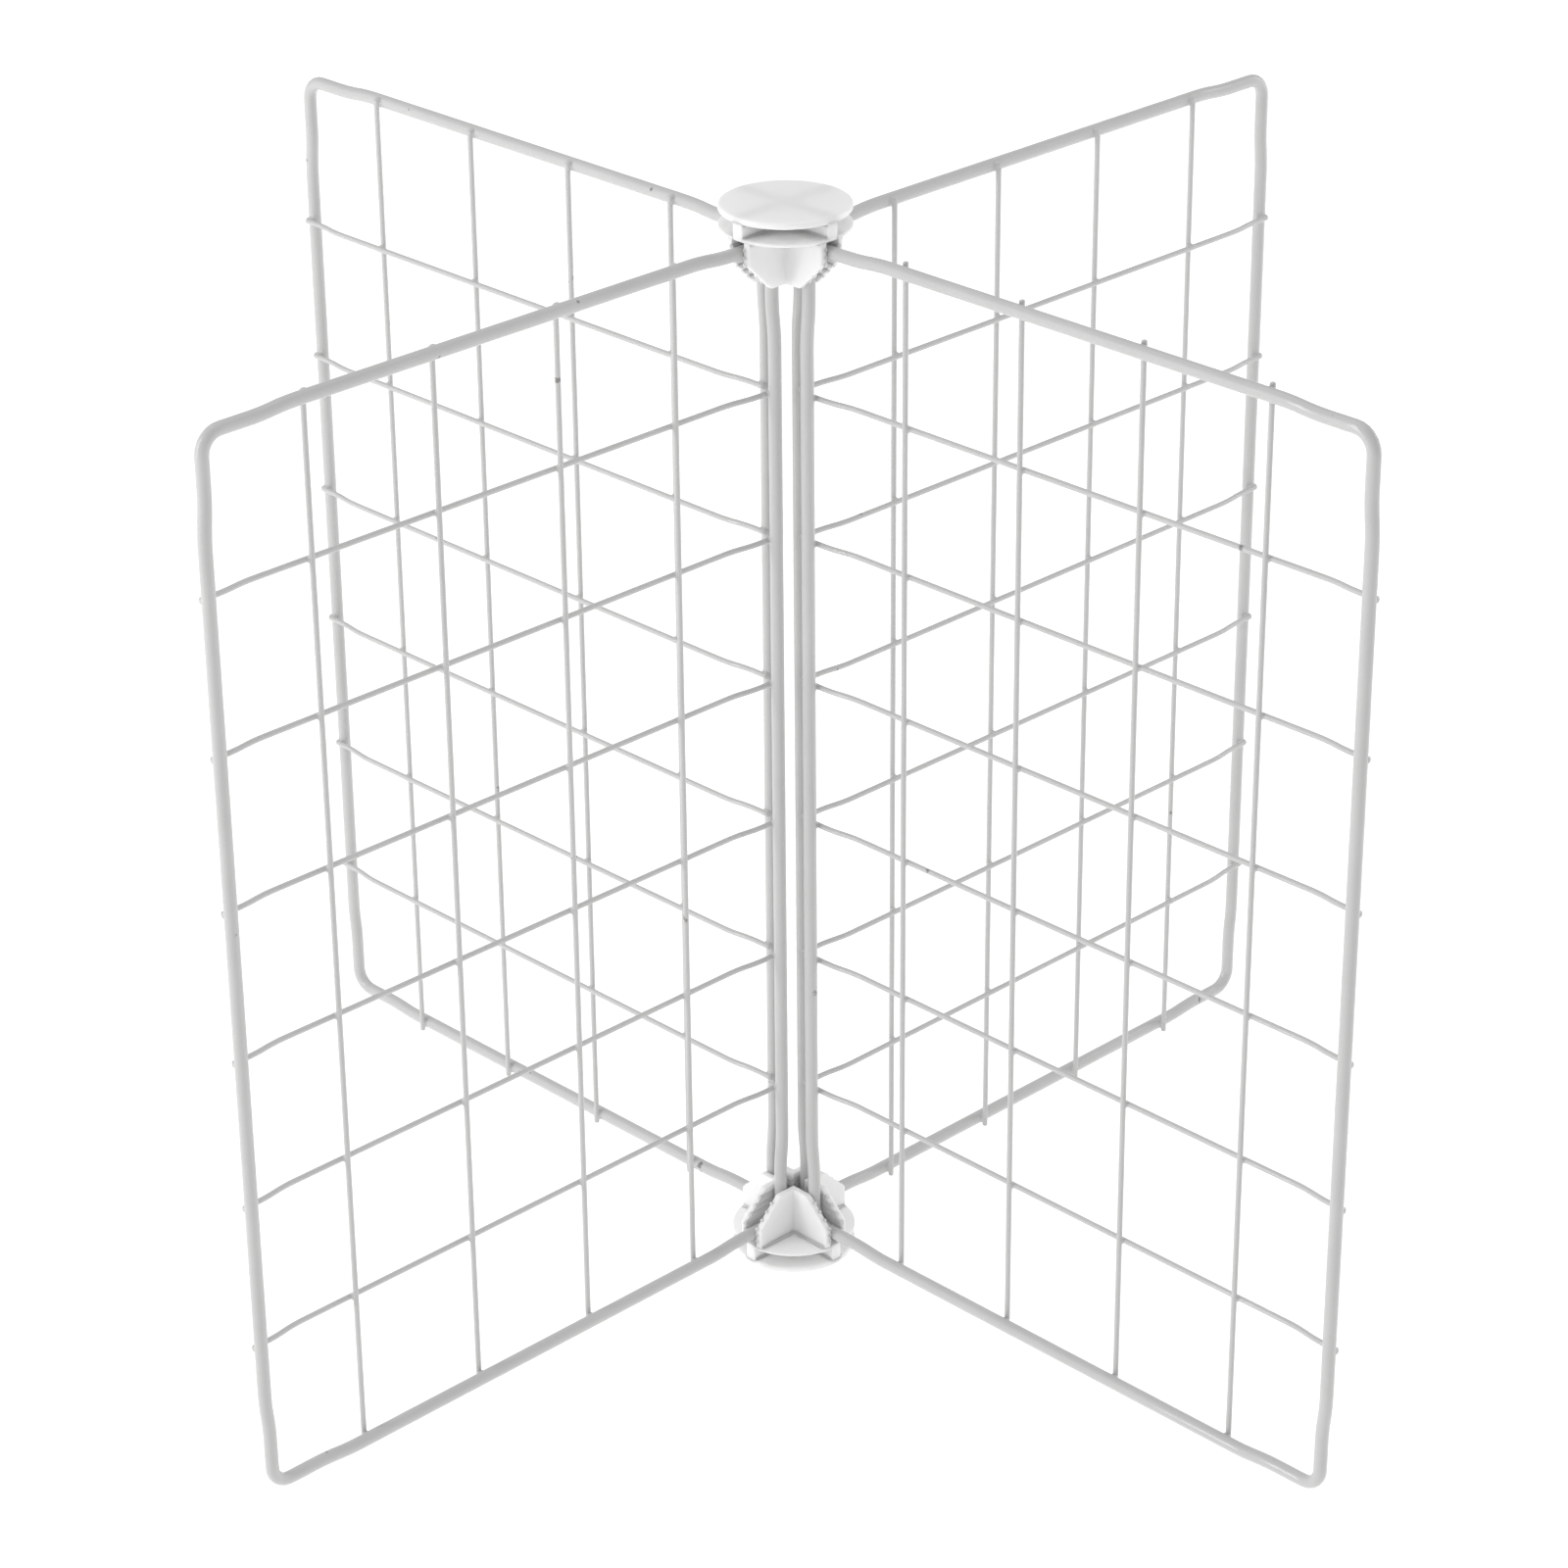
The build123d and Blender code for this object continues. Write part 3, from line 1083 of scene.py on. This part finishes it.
def floor_finish():
    material, tree, shader = start_material("pale_floor")
    position = tree.node("ShaderNodeTexCoord").output("Object")
    drift = noise(tree, position, 600 * MM)
    tree.feed(shader.inputs["Base Color"], mix(tree, drift, FLOOR_GREY, FLOOR_WHITE))
    shader.inputs["Roughness"].default_value = 0.9
    shader.inputs["Specular IOR Level"].default_value = 0.1
    shader.inputs["Emission Color"].default_value = (1, 1, 1, 1)
    shader.inputs["Emission Strength"].default_value = FLOOR_GLOW
    return material


def soft_box(name, heading, distance, height, size, power):
    """A rectangular area light that faces the middle of the rack.

    Heading is in degrees from the X axis, lengths are in metres and power is in watts.
    """
    data = bpy.data.lights.new(name, "AREA")
    data.shape = "RECTANGLE"
    data.size, data.size_y = size
    data.energy = power
    lamp = bpy.data.objects.new(name, data)
    lamp.location = (cos(radians(heading)) * distance, sin(radians(heading)) * distance, height)
    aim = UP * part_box("top_connector")[1].z / 2 - lamp.location
    lamp.rotation_euler = aim.to_track_quat("-Z", "Y").to_euler()
    bpy.context.scene.collection.objects.link(lamp)


floor_mesh = bpy.data.meshes.new("floor")
corners = [(-FLOOR_HALF, -FLOOR_HALF, 0), (FLOOR_HALF, -FLOOR_HALF, 0)]
corners += [(FLOOR_HALF, FLOOR_HALF, 0), (-FLOOR_HALF, FLOOR_HALF, 0)]
floor_mesh.from_pydata(corners, [], [(0, 1, 2, 3)])
floor = bpy.data.objects.new("floor", floor_mesh)
floor.data.materials.append(floor_finish())
bpy.context.scene.collection.objects.link(floor)

soft_box("overhead", 135, 0.3, 2.6, (2.2, 2.2), 11)
soft_box("left_soft", -135, 2.2, 0.9, (1.4, 1.4), 6)
soft_box("right_soft", 45, 2.2, 0.9, (1.4, 1.4), 3)
soft_box("left_strip", -113, 1.9, 0.7, (0.35, 1.8), 13)
soft_box("right_strip", 73, 1.9, 0.7, (0.30, 1.8), 6)
world = bpy.data.worlds.new("white_world")
world.use_nodes = True
background = world.node_tree.nodes["Background"]
background.inputs["Color"].default_value = (1, 1, 1, 1)
background.inputs["Strength"].default_value = WORLD_STRENGTH
bpy.context.scene.world = world
bpy.context.scene.view_settings.view_transform = "Standard"
